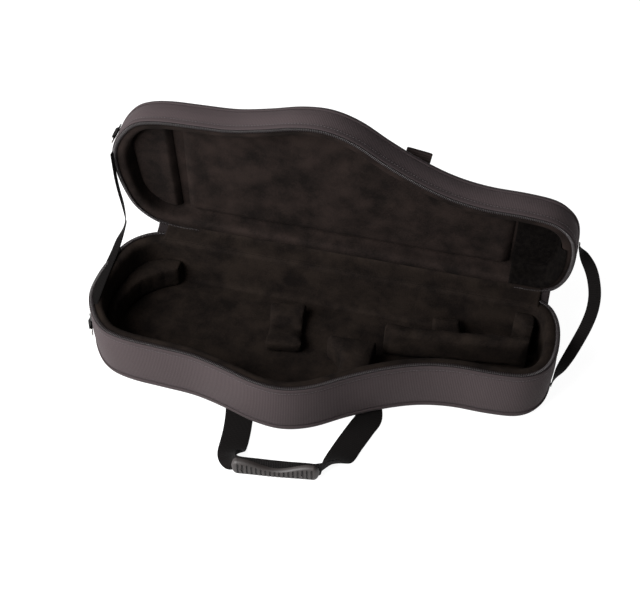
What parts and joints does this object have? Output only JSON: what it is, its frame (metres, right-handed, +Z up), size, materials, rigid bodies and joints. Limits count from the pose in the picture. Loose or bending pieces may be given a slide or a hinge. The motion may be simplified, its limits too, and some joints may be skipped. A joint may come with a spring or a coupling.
{
  "type": "saxophone case",
  "caption": "Shaped soft-shell alto saxophone case, open, with a plush-lined base and lid, zip, end straps, webbing handles and a moulded grip.",
  "frame": {"origin": "middle of the base's flat underside", "axes": "+X along the case to its narrow end, -Y to the front where the handle is, +Z up"},
  "size_m": [0.7724, 0.4417, 0.3841],
  "materials": {
    "nylon": "ribbed woven nylon",
    "binding": "woven nylon facing",
    "piping": "corded welt",
    "zip_tape": "woven zip tape",
    "zip_coil": "nylon zip coil",
    "plush": "short plush",
    "foam": "moulded foam",
    "loop_panel": "black loop fabric",
    "webbing": "woven webbing",
    "grip_rubber": "moulded rubber",
    "nickel": "bright nickel plate"
  },
  "bodies": {
    "base": {"base_bottom_cover": "nylon", "base_side_cover": "nylon", "base_piping": "piping", "base_binding": "binding", "base_zip_tape": "zip_tape", "base_zip_coil": "zip_coil", "handle_anchor_left": "webbing", "handle_anchor_right": "webbing", "base_foam": "foam", "base_lining": "plush", "bow_cushion": "plush", "bell_cushion": "plush", "end_block": "plush", "body_cradle": "plush", "upper_cradle": "plush", "neck_divider": "plush", "hinge_spine": "nylon", "hinge_lining": "plush", "base_ring_tab": "webbing", "stay_base_patch": "webbing", "end_strap_base_patch": "webbing", "lid_stay": "webbing", "end_strap": "webbing"},
    "lid": {"lid_top_cover": "nylon", "lid_side_cover": "nylon", "lid_piping": "piping", "lid_binding": "binding", "lid_zip_tape": "zip_tape", "lid_zip_coil": "zip_coil", "lid_foam": "foam", "lid_lining": "plush", "lid_main_pad": "plush", "lid_bow_pad": "plush", "lid_loop_panel": "loop_panel", "lid_ring_tab": "webbing", "stay_lid_patch": "webbing", "end_strap_lid_patch": "webbing", "lid_handle_anchor_left": "webbing", "lid_handle_anchor_right": "webbing"},
    "carry_handle": {"carry_strap": "webbing", "carry_grip": "grip_rubber"},
    "lid_handle": {"lid_strap": "webbing"},
    "base_ring": {"base_ring": "nickel"},
    "lid_ring": {"lid_ring": "nickel"},
    "zip_slider_left": {"zip_slider_left": "nickel"},
    "zip_pull_left": {"zip_pull_left": "nickel"},
    "zip_slider_right": {"zip_slider_right": "nickel"},
    "zip_pull_right": {"zip_pull_right": "nickel"}
  },
  "joints": [
    {"name": "lid_hinge", "type": "hinge", "parent": "base", "child": "lid", "pos_m": [0, 0.143, 0.092], "axis": [1, 0, 0], "range_deg": [0, 79.4], "deforming": ["hinge_spine", "hinge_lining", "lid_stay", "end_strap"]},
    {"name": "carry_handle_swing", "type": "hinge", "parent": "base", "child": "carry_handle", "pos_m": [-0.088, -0.138, 0.0013], "axis": [-0.9615, -0.2747, 0], "range_deg": [0, 53], "deforming": ["carry_strap"]},
    {"name": "lid_handle_swing", "type": "hinge", "parent": "lid", "child": "lid_handle", "pos_m": [-0.086, 0.16907, 0.3441], "axis": [0.9853, 0.0314, -0.168], "range_deg": [0, 120]},
    {"name": "base_ring_swing", "type": "hinge", "parent": "base", "child": "base_ring", "pos_m": [-0.34927, -0.05487, 0.052], "axis": [-0.4848, 0.8746, 0], "range_deg": [0, 110]},
    {"name": "lid_ring_swing", "type": "hinge", "parent": "lid", "child": "lid_ring", "pos_m": [-0.35489, 0.13601, 0.28158], "axis": [0, 0.9829, 0.1839], "range_deg": [0, 110]},
    {"name": "zip_slider_left_travel", "type": "slide", "parent": "base", "child": "zip_slider_left", "axis": [-1, 0, 0], "range_m": [0, 0.024]},
    {"name": "zip_pull_left_swing", "type": "hinge", "parent": "zip_slider_left", "child": "zip_pull_left", "pos_m": [-0.25, 0.1463, 0.0942], "axis": [1, 0, 0], "range_deg": [0, 78]},
    {"name": "zip_slider_right_travel", "type": "slide", "parent": "base", "child": "zip_slider_right", "axis": [1, 0, 0], "range_m": [0, 0.024]},
    {"name": "zip_pull_right_swing", "type": "hinge", "parent": "zip_slider_right", "child": "zip_pull_right", "pos_m": [0.293, 0.1463, 0.0942], "axis": [1, 0, 0], "range_deg": [0, 78]}
  ]
}
